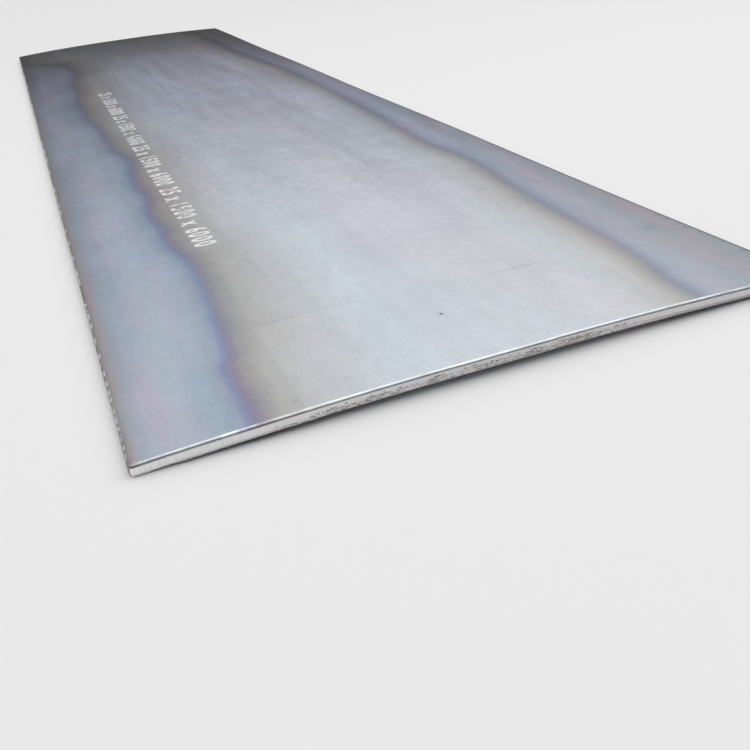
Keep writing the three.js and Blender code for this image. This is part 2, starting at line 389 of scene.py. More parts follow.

# %% [markdown]
# ## The mill edges
#
# No blade has touched the long sides.  Between the rolls the steel spread sideways as it liked, so
# each side bulges like a barrel, wanders in and out by a millimetre along the plate, and carries
# shallow folds where the skin lapped over itself.  Handling adds dents on the top corner, where
# chains and forks have caught it.  A dent lays the steel bare, so it is rubbed as well, and that
# bare steel is painted near white, partly as a painted glint.

# %% Sizes of a mill edge
MILL_WANDER = 1.2
MILL_WANDER_PITCH = 1700
MILL_SKIN = 0.05  # the fine mesh stays this far inside the solid one
MILL_FLAT_SHARE = 0.6  # the share of the half height below which the side isn't rounded yet
FOLDS = ((15.5, 830), (8.8, 1040))  # the height of each fold, and its wander's pitch
FOLD_DEPTH = 0.45
FOLD_HALF_HEIGHT = 1.1
FOLD_WANDER = 2.2
SIDE_ROUGHNESS = 0.22
SIDE_GRAIN = (23, 2.6)  # the size of its lumps, along and up
DENT_HEIGHT = 0.93  # shares of the thickness: the middle of a dent, and how far it spreads
DENT_SPREAD = 0.06
DENT_TOP = 0.02  # and how near the top face it ends
DENTS_PER_SIDE = 60
DENT_MARGIN = 30
DENT_SIZES = ((11, 34), (0.2, 0.9))  # least and most: half length, depth
BARE_DENT = 0.3  # a dent this deep is bare steel
KNOCKS = (38, 70, 106, 148, 212, 262, 296, 338, 384, 432)  # a row of small ones, where a chain ran
KNOCK_HALF_LENGTH = 11
KNOCK_DEPTH = 0.45
SIDE_STARTS = {"right": (1.3, 300), "left": (4.2, 400)}  # each side's phase and seed

MILL_SHARES = 0.5 + 0.5 * np.cos(np.pi * np.arange(LEVELS) / (LEVELS - 1))  # closer at the faces
print("the levels of a side, in mm:", np.round(MILL_SHARES * THICKNESS, 1).tolist())

# %% Strew the dents
def strew_dents(seed):
    """Rows of (distance from the near end, half length, depth) for the top corner of a side."""
    draw = np.random.default_rng(seed)
    place = draw.uniform(DENT_MARGIN, LENGTH - DENT_MARGIN, DENTS_PER_SIDE)
    drawn = [draw.uniform(least, most, DENTS_PER_SIDE) for least, most in DENT_SIZES]
    return np.stack([place, *drawn], axis=1)


knocked = [(place, KNOCK_HALF_LENGTH, KNOCK_DEPTH) for place in KNOCKS]
DENTS = {"right": strew_dents(61), "left": np.concatenate([strew_dents(62), knocked])}
print("dents:", {side: len(dents) for side, dents in DENTS.items()})

# %% Section of a mill edge
def milled_section(along, side):
    """A dictionary of arrays like that of a sheared end.  Nothing is torn here."""
    phase, seed = SIDE_STARTS[side]
    wandering = MILL_WANDER * (0.5 + 0.5 * wander(along, MILL_WANDER_PITCH, phase)) + MILL_SKIN
    from_middle = np.abs(2 * MILL_SHARES - 1)
    shoulder = np.clip((from_middle - MILL_FLAT_SHARE) / (1 - MILL_FLAT_SHARE), 0, None)
    round_over = MILL_ROUND * (1 - np.sqrt(np.clip(1 - shoulder**2, 0, None)))
    barrel = -MILL_BULGE * from_middle**2 * (1 - shoulder) - round_over - MILL_BULGE * shoulder
    height = np.tile(MILL_SHARES * THICKNESS, (len(along), 1))
    out = barrel[None, :] - wandering[:, None]

    for number, (fold_height, pitch) in enumerate(FOLDS):
        level = fold_height + FOLD_WANDER * wander(along, pitch, seed + number)
        strength = smooth(0.5 + 1.6 * wander(along, 1.3 * pitch, seed + 5 + number))
        gap = (height - level[:, None]) / FOLD_HALF_HEIGHT
        out = out - FOLD_DEPTH * strength[:, None] * np.exp(-(gap**2))
    inside = 1 - from_middle**4  # the two faces stay as they are
    long, high = SIDE_GRAIN
    lumps = grain(along[:, None] / long + 0 * height, height / high, seed + 9)
    out = out - SIDE_ROUGHNESS * inside * (1 + lumps)

    dent = np.zeros(len(along))
    for place, half_length, depth in DENTS[side]:
        dent = np.maximum(dent, depth * np.clip(1 - ((along - place) / half_length) ** 2, 0, None))
    near_top = np.exp(-(((MILL_SHARES - DENT_HEIGHT) / DENT_SPREAD) ** 2))
    near_top = near_top * smooth((1 - MILL_SHARES) / DENT_TOP)
    out = out - dent[:, None] * near_top
    rubbed = smooth(dent / BARE_DENT)[:, None] * near_top
    nothing = np.zeros_like(height)
    return {"height": height, "out": out, "torn": nothing, "pit": nothing, "rubbed": rubbed}


trial = milled_section(np.array([1500.0]), "left")["out"]
print("the left side, in mm in from 750:", round(-trial.max(), 1), "to", round(-trial.min(), 1))

# %% [markdown]
# ## The outline
#
# The sections are hung on the outline of the plate, walked once round from the near left corner.
# At a corner the end's section turns into the side's section over a quarter circle.  The ends get a
# column of points every 1.5 or 2.4 mm, because their tear is fine and sharp, and the long sides one
# every 10 mm, because nothing on them changes faster.  That keeps the mesh under 200,000 triangles.

# %% Walk the outline
CORNER_STEPS = 14
STRETCHES = (  # name, start, end, which way is out, the corner's radius at its end, mm to a column
    ("near", (-1, -1), (1, -1), (0, -1), CORNER_CUT, 1.5),
    ("right", (1, -1), (1, 1), (1, 0), CORNER_CUT, 10),
    ("far", (1, 1), (-1, 1), (0, 1), CORNER_CUT, 2.4),
    ("left", (-1, 1), (-1, -1), (-1, 0), NEAR_LEFT_CORNER_CUT, 10),
)


def walk_outline():
    """(x, y, outward x, outward y, stretch) of each column, anticlockwise."""
    walked = []
    for number, (_, start, end, out, radius, spacing) in enumerate(STRETCHES):
        start_radius = STRETCHES[number - 1][4]
        onward = np.sign(np.subtract(end, start))
        start_place = np.multiply(start, (HALF_X, HALF_Y)) + start_radius * onward
        end_place = np.multiply(end, (HALF_X, HALF_Y)) - radius * onward
        steps = round(math.dist(start_place, end_place) / spacing)
        for i in range(steps):
            x, y = start_place + (end_place - start_place) * i / steps
            walked.append((x, y, *out, number))
        next_out = STRETCHES[(number + 1) % 4][3]
        centre = end_place - radius * np.array(out)
        for i in range(CORNER_STEPS):
            turn = 0.5 * math.pi * i / CORNER_STEPS
            outward = np.array(out) * math.cos(turn) + np.array(next_out) * math.sin(turn)
            walked.append((*(centre + radius * outward), *outward, number))
    return np.array(walked)


columns = walk_outline()
print("columns:", len(columns))

# %% Hang the sections on it
def hang_sections(walked):
    """The place of each point (column, level, xyz), and its torn, pit and rubbed numbers."""
    x, y, outward_x, outward_y = walked[:, :4].T
    on_side = (outward_x**2)[:, None]
    near = sheared_section(x + HALF_X, "near")
    far = sheared_section(x + HALF_X, "far")
    right = milled_section(y + HALF_Y, "right")
    left = milled_section(y + HALF_Y, "left")
    blended = {}
    for what in near:
        end = np.where((y < 0)[:, None], near[what], far[what])
        side = np.where((x > 0)[:, None], right[what], left[what])
        blended[what] = end * (1 - on_side) + side * on_side
    height, out = blended.pop("height"), blended.pop("out")
    px = x[:, None] + outward_x[:, None] * out
    py = y[:, None] + outward_y[:, None] * out
    return np.stack([px, py, height + lift(px, py)], axis=2), blended


points, point_numbers = hang_sections(columns)
print("points on the edge:", points.shape[0] * points.shape[1])

# %% [markdown]
# ## The two faces
#
# The edge is a band of rings, open at the top and at the bottom.  Each opening is closed by a face
# that starts from the ring's thousands of points and has to end in a coarse grid.  Joining such
# different spacings by hand makes long thin triangles.  A Delaunay triangulation does it better: it
# is given the ring, a few thinner rings inside it and a grid of loose points, and finds the
# triangles that are nearest to equal-sided.

# %% Fill a face inside its ring
RING_INSETS = ((9, 4), (26, 8))  # each inner ring's distance from the edge, and points left out
GRID_MARGIN = 48  # from the edge to the grid
FACE_GRID = {"top": 46, "underside": 75}


def spread(half, spacing):
    """Places from one margin to the other, as near to the spacing as fits."""
    reach = half - GRID_MARGIN
    return np.linspace(-reach, reach, round(2 * reach / spacing) + 1)


def fill_face(ring, directions, spacing):
    """Loose points and triangles, as numbers into the ring followed by the loose points."""
    gx, gy = np.meshgrid(spread(HALF_X, spacing), spread(HALF_Y, spacing))
    loose = [ring[::every] - inset * directions[::every] for inset, every in RING_INSETS]
    loose = np.concatenate([*loose, np.stack([gx.ravel(), gy.ravel()], axis=1)])
    flat = [Vector(p) for p in np.concatenate([ring, loose])]
    count = len(ring)
    rim = [(i, (i + 1) % count) for i in range(count)]
    made, _, faces, origins = delaunay_2d_cdt(flat, rim, [], 1, 1e-4)[:4]
    if len(made) != len(flat):
        raise ValueError("the triangulation added or merged points")
    back = [source[0] for source in origins]
    return loose, np.array([[back[i] for i in face] for face in faces])


directions = columns[:, 2:4]
top_loose, top_faces = fill_face(points[:, 0, :2], directions, FACE_GRID["top"])
under_loose, under_faces = fill_face(points[:, -1, :2], directions, FACE_GRID["underside"])
print("triangles on the top face:", len(top_faces), "on the underside:", len(under_faces))

# %% Put the rings and the faces together
count = len(columns)
edge_places = points.reshape(-1, 3)
top_places = np.column_stack([top_loose, THICKNESS + lift(*top_loose.T)])
under_places = np.column_stack([under_loose, lift(*under_loose.T)])
places = np.concatenate([edge_places, top_places, under_places])


def edge_quads():
    """Quads between neighbouring columns and levels, facing out."""
    level = np.arange(LEVELS - 1)[None, :]
    here = np.arange(count)[:, None] * LEVELS + level
    beside = (np.arange(count)[:, None] + 1) % count * LEVELS + level
    return np.stack([here, here + 1, beside + 1, beside], axis=2).reshape(-1, 4)


def face_triangles(faces, level, first_loose, up):
    """Numbers into ring and loose points become numbers into the mesh, all facing up or down."""
    faces = np.where(faces < count, faces * LEVELS + level, faces - count + first_loose)
    a, b, c = (places[faces[:, i], :2] for i in range(3))
    turned = (b[:, 0] - a[:, 0]) * (c[:, 1] - a[:, 1]) - (b[:, 1] - a[:, 1]) * (c[:, 0] - a[:, 0])
    return np.where(((turned > 0) == up)[:, None], faces, faces[:, ::-1])


side_quads = edge_quads()
top_tris = face_triangles(top_faces, 0, len(edge_places), True)
under_start = len(edge_places) + len(top_places)
under_tris = face_triangles(under_faces, LEVELS - 1, under_start, False)
triangle_count = 2 * len(side_quads) + len(top_tris) + len(under_tris)
print("points:", len(places), "triangles:", triangle_count)

# %% Make the mesh
def add_object(name, data):
    """Puts a mesh, a text, a lamp or a camera into the scene."""
    made = bpy.data.objects.new(name, data)
    bpy.context.scene.collection.objects.link(made)
    return made


plate_mesh = bpy.data.meshes.new("hot_rolled_plate")
all_faces = side_quads.tolist() + top_tris.tolist() + under_tris.tolist()
plate_mesh.from_pydata((places * MM).tolist(), [], all_faces)
plate = add_object("hot_rolled_plate", plate_mesh)
plate_mesh.polygons.foreach_set("use_smooth", np.ones(len(all_faces), bool))

for what, edge_values in point_numbers.items():
    stored = plate_mesh.attributes.new(what, "FLOAT", "POINT")
    values = np.zeros(len(places), np.float32)  # 0 on both faces
    values[: len(edge_places)] = edge_values.ravel()
    stored.data.foreach_set("value", values)
plate_mesh.validate()
print("the fine mesh measures, in mm:", [round(1000 * v, 1) for v in plate.dimensions])

# %% [markdown]
# ## One finish for each kind of surface
#
# The plate carries three finishes: mill scale on both faces, a sheared end on the short edges and
# the rough rolled edge on the long ones.  Which face wears which follows from where it is: the
# rollover still has its scale, so the sheared finish starts below it.

# %% Say which faces wear which finish
SCALE, SHEARED, MILLED = 0, 1, 2


def finish_numbers():
    numbers = np.full((count, LEVELS - 1), SHEARED)
    numbers[:, :FIRST_WIPED] = SCALE
    on_side = (columns[:, 2] ** 2 + np.roll(columns[:, 2], -1) ** 2) / 2 > 0.5
    numbers[on_side] = MILLED
    return np.concatenate([numbers.ravel(), np.full(len(top_tris) + len(under_tris), SCALE)])


finish_of_face = finish_numbers()
print("faces of each finish:", np.bincount(finish_of_face).tolist())

# %% [markdown]
# The render needs no map that lays the surface out flat, because every finish below is worked out
# from the place itself.  It is needed when the finishes are baked to pictures for other programs.
# Left to itself, an unwrap gives the ends far too few pixels, so the map is laid out: the faces
# as two wide strips, and each end and each side as a strip stretched to the map's full width.

# %% Lay the surface out flat
FACE_ROWS = ((0.005, 0.475), (0.485, 0.755))  # top, underside
EDGE_ROWS = ((0.765, 0.845), (0.935, 0.965), (0.85, 0.93), (0.967, 0.997))  # near, right, far, left
MAP_MARGIN = 0.003


def lay_out_edge():
    stretch = columns[:, 4].astype(int)
    start = np.zeros(count)
    end = np.ones(count)
    for number in range(4):
        mine = np.flatnonzero(stretch == number)
        shares = np.arange(len(mine) + 1) / len(mine)
        start[mine], end[mine] = shares[:-1], shares[1:]
    low, high = np.array(EDGE_ROWS)[stretch].T
    rows = []
    for level in range(LEVELS - 1):
        top = high - (high - low) * level / (LEVELS - 1)
        foot = high - (high - low) * (level + 1) / (LEVELS - 1)
        corners = ((start, top), (start, foot), (end, foot), (end, top))
        rows.append(np.stack([np.stack(corner, axis=1) for corner in corners], axis=1))
    return np.stack(rows, axis=1).reshape(-1, 2)


def lay_out_face(triangles, rows):
    low, high = rows
    corner = places[triangles.ravel()]
    u = MAP_MARGIN + (1 - 2 * MAP_MARGIN) * (corner[:, 1] + HALF_Y) / LENGTH
    v = low + (high - low) * (corner[:, 0] + HALF_X) / WIDTH
    return np.stack([u, v], axis=1)


flat_map = plate_mesh.uv_layers.new(name="OFBake")
flat = [lay_out_edge()]
flat += [lay_out_face(tris, rows) for tris, rows in zip((top_tris, under_tris), FACE_ROWS)]
flat_map.data.foreach_set("uv", np.concatenate(flat).astype(np.float32).ravel())
print("corners laid out:", len(flat_map.data))

# %% [markdown]
# ## Building finishes from nodes
#
# A finish is a small network of nodes.  The next helpers keep the wiring readable: a network is
# opened once, and each helper adds one node, plugs in whatever it is given, a number or another
# node's result, and hands back its own result.  The same helpers wire the light further down.

# %% Helpers for wiring nodes
RAMP_TOP = 1.25  # a ramp node cuts off above 1, so it holds its colours as shares of this


class Wiring:
    """A network of nodes under construction."""

    def __init__(self, tree):
        self.tree = tree

    def plug(self, socket, value):
        """Links a result, or sets a number.  Where a colour is wanted, a number is a grey."""
        if isinstance(value, bpy.types.NodeSocket):
            self.tree.links.new(value, socket)
        elif value is not None and socket.type == "RGBA":
            colour = value if isinstance(value, tuple) else (value,) * 3
            socket.default_value = (*colour, 1)
        elif value is not None:
            socket.default_value = value

    def node(self, kind, inputs=(), **settings):
        made = self.tree.nodes.new("ShaderNode" + kind)
        for key, value in settings.items():
            setattr(made, key, value)
        for key, value in dict(inputs).items():
            self.plug(made.inputs[key], value)
        return made

    def math(self, operation, a, b):
        return self.node("Math", {0: a, 1: b}, operation=operation).outputs[0]

    def add(self, a, b):
        return self.math("ADD", a, b)

    def less(self, a, b):
        return self.math("SUBTRACT", a, b)

    def times(self, a, b):
        return self.math("MULTIPLY", a, b)

    def over(self, a, b):
        return self.math("DIVIDE", a, b)

    def between(self, value, low, high, to_low=0.0, to_high=1.0, soft=True):
        """0 below low and 1 above high, or other numbers, with an eased change."""
        inputs = {0: value, 1: low, 2: high, 3: to_low, 4: to_high}
        kind = "SMOOTHSTEP" if soft else "LINEAR"
        return self.node("MapRange", inputs, interpolation_type=kind).outputs[0]

    def fading(self, value, low, high):
        """1 below low and 0 above high."""
        return self.between(value, low, high, 1.0, 0.0)

    def mix(self, share, a, b, blend="MIX"):
        inputs = {0: share, 6: a, 7: b}
        return self.node("Mix", inputs, data_type="RGBA", blend_type=blend).outputs[2]

    def tinted(self, a, b):
        """One colour seen through another."""
        return self.mix(1.0, a, b, "MULTIPLY")

    def shaded(self, colour, light):
        """A colour made lighter or darker."""
        return self.node("VectorMath", {0: colour, "Scale": light}, operation="SCALE").outputs[0]

    def ramp(self, value, stops, kind="CARDINAL"):
        """A colour that runs through the stops."""
        made = self.node("ValToRGB", {0: value})
        ramp = made.color_ramp
        ramp.interpolation = kind
        while len(ramp.elements) < len(stops):
            ramp.elements.new(0.5)
        for element, (position, colour) in zip(ramp.elements, stops):
            element.position = position
            element.color = (*(part / RAMP_TOP for part in colour), 1)
        return self.shaded(made.outputs[0], RAMP_TOP)

    def curve(self, value, stops):
        """A number that runs through the stops."""
        made = self.node("FloatCurve", {"Value": value})
        line = made.mapping.curves[0]
        for position, height in stops[1:-1]:
            line.points.new(position, height)
        line.points[0].location = stops[0]
        line.points[-1].location = stops[-1]
        made.mapping.update()
        return made.outputs[0]


print("helpers:", ", ".join(name for name in vars(Wiring) if not name.startswith("_")))

# %% [markdown]
# A finish needs a few more: where it is on the plate, noise, the numbers that the mesh keeps, and
# bumps.  Noise is worked out from the place on the plate, stretched along some axes, so that one
# kind of node gives clouds, streaks and specks.

# %% Helpers for a finish
class Finish(Wiring):
    """One material under construction."""

    def __init__(self, name):
        self.material = bpy.data.materials.new(name)
        self.material.use_nodes = True
        super().__init__(self.material.node_tree)
        self.shader = self.tree.nodes["Principled BSDF"]

    def here(self):
        """The place on the plate, in metres."""
        return self.node("TexCoord").outputs["Object"]

    def axes(self):
        """The same place as three numbers: X, Y and Z."""
        return self.node("SeparateXYZ", {0: self.here()}).outputs

    def noise(self, stretch, detail=2.0, roughness=0.5, shift=(0, 0, 0), distortion=0.0):
        """Smooth noise around 0.5.  stretch is how many lumps fit in a metre along each axis.

        These five together are a noise's look, and a finish keeps them as one named value.
        """
        placing = {"Vector": self.here(), "Scale": stretch, "Location": shift}
        look = {"Scale": 1.0, "Detail": detail, "Roughness": roughness, "Distortion": distortion}
        look["Vector"] = self.node("Mapping", placing).outputs[0]
        return self.node("TexNoise", look).outputs["Fac"]

    def patches(self, look, *ends):
        """Noise of one look, spread out as `between` does: look, low, high, to_low, to_high."""
        return self.between(self.noise(*look), *ends)

    def stored(self, name):
        """A number kept on the mesh's points."""
        return self.node("Attribute", attribute_name=name).outputs["Fac"]

    def bump(self, height, depth_in_metres, strength=1.0):
        inputs = {"Height": height, "Distance": depth_in_metres, "Strength": strength}
        return self.node("Bump", inputs).outputs[0]

    def coat(self, colour, roughness, metallic=0.0, normal=None):
        """Plugs the results into the shader and hands over the material."""
        names = ("Base Color", "Roughness", "Metallic", "Normal")
        for name, value in zip(names, (colour, roughness, metallic, normal)):
            self.plug(self.shader.inputs[name], value)
        return self.material


print("and for a finish:", ", ".join(name for name in vars(Finish) if not name.startswith("_")))

# %% [markdown]
# ## Mill scale and its heat tint
#
# The scale is an oxide skin a few hundredths of a millimetre thick.  Where it is thick it is plain
# grey.  Towards the long sides the plate cooled faster, the skin stayed thinner, and a thin skin
# shows colours for the same reason that oil on water does.  They always come in the same order:
# grey, then a bronze halo, a violet and blue line, and a cool grey with soft patches of teal and
# mauve out to the side.  The very rim is beige on the left and mauve on the right.
#
# The order is the key to making it.  The finish measures how far a place is from the line where the
# tint starts, and a colour ramp turns that one number into the whole series.  The line itself runs
# in long uneven lobes, drawn as a curve, and a little noise roughens it.  Short of the far end, the
# left line hooks out to the side and ends there.

# %% Colours of the scale
PLAIN_BLUER = (0.562, 0.619, 0.674)  # the plain scale drifts between these two
PLAIN_ROSIER = (0.590, 0.610, 0.666)
PLAIN_DRIFT = (0.35, 0.65)
# How rosy it is across the plate: (metres from the left side, share)
ROSINESS = (
    (0.0, 0.5), (0.28, 0.44), (0.42, 0.36), (0.60, 0.34), (0.70, 0.46), (0.90, 0.66),
    (1.15, 0.5), (1.5, 0.5),
)
TINT_OUTSIDE = 0.27  # metres that the ramps cover on the outer side of the tint's line
TINT_INSIDE = 0.33  # and on its inner side

# (metres from the line, negative towards the side; colour as shares of the plain scale's)
LEFT_TINT = (
    (-0.27, (0.56, 0.56, 0.61)), (-0.22, (0.595, 0.625, 0.68)), (-0.18, (0.695, 0.685, 0.75)),
    (-0.14, (0.735, 0.73, 0.775)), (-0.09, (0.68, 0.72, 0.78)), (-0.045, (0.60, 0.66, 0.72)),
    (-0.020, (0.51, 0.575, 0.67)), (-0.005, (0.40, 0.45, 0.61)), (0.010, (0.44, 0.41, 0.50)),
    (0.028, (0.545, 0.50, 0.505)), (0.068, (0.725, 0.67, 0.61)), (0.16, (0.87, 0.83, 0.80)),
    (0.25, (0.96, 0.94, 0.93)), (0.33, (1.0, 1.0, 1.0)),
)
RIGHT_TINT = (
    (-0.27, (0.64, 0.61, 0.63)), (-0.17, (0.685, 0.65, 0.68)), (-0.12, (0.73, 0.70, 0.73)),
    (-0.075, (0.755, 0.75, 0.79)), (-0.032, (0.66, 0.675, 0.745)), (-0.015, (0.56, 0.56, 0.65)),
    (-0.002, (0.50, 0.485, 0.57)), (0.012, (0.58, 0.55, 0.56)), (0.030, (0.72, 0.68, 0.62)),
    (0.060, (0.89, 0.85, 0.79)), (0.10, (0.98, 0.95, 0.90)), (0.15, (1.05, 1.03, 1.01)),
    (0.20, (1.08, 1.065, 1.055)), (0.26, (1.01, 1.01, 1.01)), (0.33, (1.0, 1.0, 1.0)),
)
print("stops in the tints:", len(LEFT_TINT), "and", len(RIGHT_TINT))

# %% Where the tints start
# (metres from the near end, metres in from the side)
LEFT_LINE = (
    (0.00, 0.224), (0.15, 0.234), (0.22, 0.232), (0.30, 0.250), (0.40, 0.260), (0.62, 0.280),
    (0.88, 0.288), (0.96, 0.278), (1.10, 0.262), (1.21, 0.268), (1.30, 0.259), (1.40, 0.259),
    (1.60, 0.280), (1.72, 0.268), (1.90, 0.275), (2.15, 0.293), (2.29, 0.266), (2.38, 0.254),
    (2.48, 0.252), (2.85, 0.252), (3.05, 0.234), (3.30, 0.226), (3.58, 0.221), (3.72, 0.240),
    (3.95, 0.257), (4.20, 0.252), (4.34, 0.262), (4.50, 0.294), (4.62, 0.302), (4.80, 0.292),
    (4.95, 0.268), (5.08, 0.249), (5.20, 0.205), (5.30, 0.11), (5.40, 0.03), (5.60, 0.0),
    (6.00, 0.0),
)
RIGHT_LINE = (
    (0.00, 0.290), (0.10, 0.283), (0.20, 0.267), (0.32, 0.248), (0.50, 0.232), (0.70, 0.223),
    (0.90, 0.210), (1.00, 0.201), (1.20, 0.180), (1.35, 0.174), (1.50, 0.189), (1.65, 0.195),
    (1.80, 0.190), (2.10, 0.174), (2.40, 0.159), (2.70, 0.148), (3.30, 0.140), (3.90, 0.156),
    (4.20, 0.174), (4.60, 0.182), (5.20, 0.198), (6.00, 0.215),
)
LINE_CURVE_TOP = 0.4  # a curve node holds heights up to 1, so the lines are kept as shares of this
for side, line in (("left", LEFT_LINE), ("right", RIGHT_LINE)):
    print("the tint reaches", max(reach for _, reach in line), "m in from the", side)

# %% How the tints change along the plate
# The tints' drift along the plate: (share of the length, colour)
LEFT_CAST = (
    (0.0, (1.0, 1.0, 1.0)), (0.055, (0.99, 1.0, 1.0)), (0.09, (0.935, 0.965, 0.965)),
    (0.17, (0.945, 0.97, 0.97)), (0.28, (0.965, 1.0, 0.99)), (0.50, (0.985, 1.01, 1.0)),
    (0.58, (1.07, 1.05, 1.05)), (0.75, (0.95, 0.95, 0.97)), (0.84, (1.0, 1.0, 1.0)),
    (0.90, (1.2, 1.17, 1.13)), (1.0, (1.2, 1.17, 1.13)),
)
RIGHT_CAST = (
    (0.0, (1.0, 1.01, 0.99)), (0.06, (1.02, 1.02, 1.0)), (0.10, (1.0, 1.01, 1.01)),
    (0.18, (0.99, 1.0, 1.01)), (0.27, (0.985, 1.02, 1.06)), (0.45, (1.03, 1.03, 1.08)),
    (0.58, (1.05, 0.99, 0.99)), (0.75, (0.965, 0.89, 0.965)), (1.0, (0.965, 0.89, 0.965)),
)
CAST_FADES = (0.25, 0.45)  # metres from the side between which the drift fades
# The power that a tint is raised to: at the near end, past DEEPER, and the distances from the near
# end, in metres, between which FAR_DEPTH is added to it
LEFT_DEPTH = (1.13, 1.6, 2.7, 3.5)
RIGHT_DEPTH = (1.0, 1.26, 3.0, 4.1)
DEEPER = (0.5, 1.3)  # metres from the near end
FAR_DEPTH = 0.6
TINT_ENDS = (-0.02, 0.05)  # metres from the line between which the patches in the tint fade
LEFT = (LEFT_LINE, LEFT_TINT, LEFT_DEPTH, LEFT_CAST)
RIGHT = (RIGHT_LINE, RIGHT_TINT, RIGHT_DEPTH, RIGHT_CAST)
for side, values in (("left", LEFT), ("right", RIGHT)):
    print("stops on the", side, "in line, tint, depth and drift:", [len(part) for part in values])

# %% The tint at a place
def heat_tint(finish, from_side, along, wobble, line, tint, depth, cast):
    """The tint's colour at a place, as shares of the plain scale's, and where it lies: 0 to 1."""
    along_share = finish.over(along, LENGTH * MM)
    line_stops = [(at / (LENGTH * MM), reach / LINE_CURVE_TOP) for at, reach in line]
    line_at = finish.times(finish.curve(along_share, line_stops), LINE_CURVE_TOP)
    past_line = finish.add(finish.less(from_side, line_at), wobble)
    share = finish.between(past_line, -TINT_OUTSIDE, TINT_INSIDE, soft=False)
    reach = TINT_OUTSIDE + TINT_INSIDE
    colour = finish.ramp(share, [((at + TINT_OUTSIDE) / reach, stop) for at, stop in tint])

    near_power, power, far_from, far_to = depth
    deeper = finish.between(along, *DEEPER, near_power, power)
    deeper = finish.add(deeper, finish.between(along, far_from, far_to, 0.0, FAR_DEPTH))
    colour = finish.node("Gamma", {"Color": colour, "Gamma": deeper}).outputs[0]

    drift = finish.tinted(colour, finish.ramp(along_share, cast))
    colour = finish.mix(finish.fading(from_side, *CAST_FADES), colour, drift)
    return colour, finish.fading(past_line, *TINT_ENDS)


print("each ramp covers", round((TINT_OUTSIDE + TINT_INSIDE) / MM), "mm across the line")

# %% [markdown]
# On top of the tint come the marks that make scale look like scale: long faint streaks from the
# rolls, soft clouds, a fine grain, and the far end of the plate, which left the rolls last and
# carries a thicker and browner skin.  That far end is also darkened as painted shade, for the
# dimmer reflection that the plate shows there at a glancing angle.  Each is a noise with its own
# stretch.  A streak is only noise with many lumps to the metre across the plate and very few
# along it.
#
# Handling leaves single marks as well: a chain's rub, a drip, a stain.  Each is a soft oval, given
# by its place, half sizes, turn and strength, and a loop turns the list into nodes.

# %% Single marks on the top face
# (across, along, half across, half along, turn in degrees, strength: below 0 is darker), in mm
MARKS = (
    (392, 398, 125, 9, -0.6, -0.075),
    (512, 396, 125, 9, -0.6, -0.065),
    (978, 361, 108, 8, -1.0, -0.16),
    (710, 226, 6, 9, 20, -0.80),
    (277, 277, 4, 7, -30, 0.30),
    (397, 840, 10, 5, 60, 0.14),
    (388, 812, 5, 9, 10, 0.12),
    (88, 1908, 5, 9, 0, 0.45),
    (1036, 425, 6, 24, 10, -0.08),
    (1030, 494, 8, 12, -20, -0.07),
    (431, 69, 16, 10, 30, -0.10),
    (322, 42, 12, 14, -20, -0.12),
    (1400, 425, 50, 24, 35, -0.13),
    (1376, 440, 18, 30, 15, -0.10),
    (890, 1360, 190, 34, 3, -0.035),
    (675, 1500, 260, 45, -2, -0.03),
    (628, 745, 8, 60, 4, -0.04),
    (860, 560, 5, 120, 2, 0.03),
    (1168, 905, 6, 90, -3, -0.05),
    (548, 1130, 5, 70, 5, -0.04),
)
MARK_HALF_HEIGHT = 1000  # in metres, so that a mark's height off the floor plays no part
MARK_FADES = (0.1, 1.0)  # shares of its half sizes


def marked(finish, light):
    """The light, made a little darker or lighter at each of the marks."""
    for across, along, half_across, half_along, turn, strength in MARKS:
        inputs = {
            "Vector": finish.here(),
            "Location": ((across - HALF_X) * MM, (along - HALF_Y) * MM, 0),
            "Rotation": (0, 0, math.radians(turn)),
            "Scale": (half_across * MM, half_along * MM, MARK_HALF_HEIGHT),
        }
        placed = finish.node("Mapping", inputs, vector_type="TEXTURE").outputs[0]
        reach = finish.node("VectorMath", {0: placed}, operation="LENGTH").outputs["Value"]
        light = finish.times(light, finish.between(reach, *MARK_FADES, 1 + strength, 1.0))
    return light


print("marks:", len(MARKS))

# %% Light and shade of the scale
# (a noise's look, the two values of it that become the darkest and the lightest, and these two)
SKIN_LAYERS = (
    (((4.5, 0.9, 1), 4, 0.55, (1, 5, 0)), 0.3, 0.7, 0.965, 1.03),  # clouds
    (((1.2, 5, 1), 3, 0.55, (4, 9, 0)), 0.3, 0.7, 0.986, 1.014),  # bars across the plate
    (((18, 1.8, 1), 4, 0.55, (0, 2, 0)), 0.3, 0.7, 0.983, 1.017),  # streaks along it
    (((260, 120, 1), 3, 0.7), 0.25, 0.75, 0.94, 1.06),  # fine speckle
    (((44, 20, 1), 4, 0.6, (5, 3, 0)), 0.3, 0.7, 0.976, 1.024),  # mottle
    (((11, 6.5, 1), 4, 0.6, (8, 1, 0), 0.8), 0.32, 0.68, 0.98, 1.02),  # soft bloom
)
# The contrast is a power.  Between two distances from the near end, in metres, it goes from one
# value to another, and further along it loses a part of that again.
PATCHIER = (0.6, 1.6, 1.0, 2.1)
CALMER = (3.4, 4.6, 0.0, 0.6)
PALE_STARTS = (0.330, 0.335)  # a paler stretch near the left line, in metres from the left side
PALE_FADES = (0.35, 0.47)
PALE_ENDS = (0.388, 0.396)  # and in metres from the near end
PALE_LIGHT = 1.07


def skin_light(finish, across, along):
    """How light the scale is at a place, around 1."""
    light = 1.0
    for look, *ends in SKIN_LAYERS:
        light = finish.times(light, finish.patches(look, *ends))
    contrast = finish.less(finish.between(along, *PATCHIER), finish.between(along, *CALMER))
    light = finish.math("POWER", light, contrast)
    pale = finish.between(across, *PALE_STARTS)
    pale = finish.times(pale, finish.fading(across, *PALE_FADES))
    pale = finish.times(pale, finish.fading(along, *PALE_ENDS))
    light = finish.times(light, finish.between(pale, 0, 1, 1.0, PALE_LIGHT))
    return marked(finish, light)


print("layers of noise:", len(SKIN_LAYERS))

# %% The two rims
LEFT_RIM_REACH = 0.06
